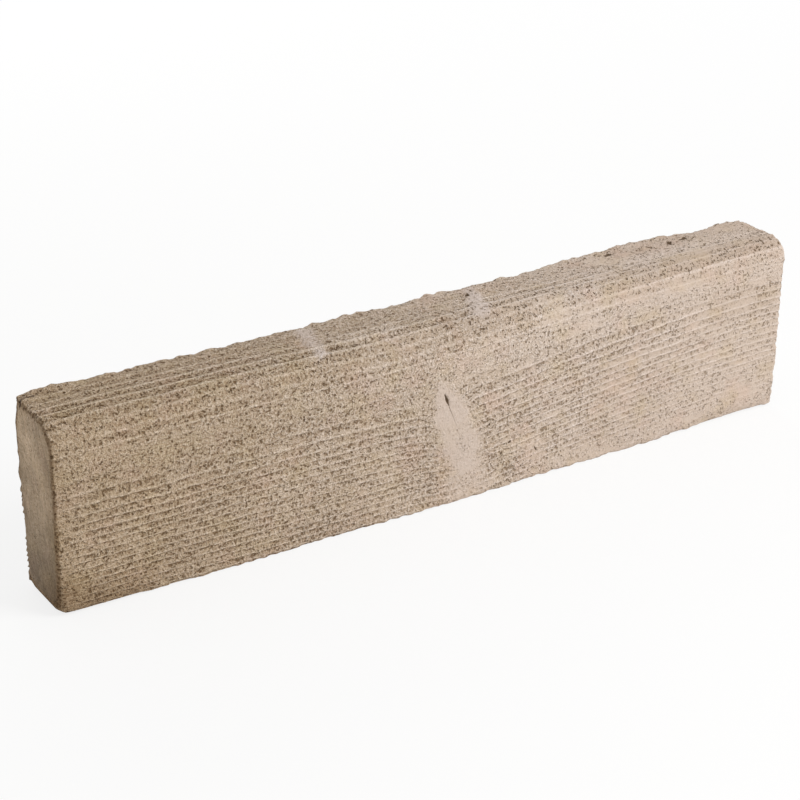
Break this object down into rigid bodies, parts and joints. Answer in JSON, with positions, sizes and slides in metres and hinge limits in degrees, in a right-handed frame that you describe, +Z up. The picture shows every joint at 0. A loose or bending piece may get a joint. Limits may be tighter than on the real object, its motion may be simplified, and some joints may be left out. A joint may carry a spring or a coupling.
{
  "type": "concrete kerb stone",
  "caption": "Cast concrete kerb stone in the form of a weathered timber, with growth-ring ridges, knots and a rounded top arris, standing on its flat bed as garden or path edging.",
  "frame": {"origin": "centre of the bed, the flat face that the stone stands on", "axes": "+X along the stone to its right end as seen from the face, -Y out of the face with the front knot, +Z up"},
  "size_m": [0.665, 0.0604, 0.1534],
  "materials": {
    "cast_concrete": "rough matt cast face, sand-coloured"
  },
  "bodies": {
    "root": {"kerb_stone": "cast_concrete"}
  },
  "joints": []
}
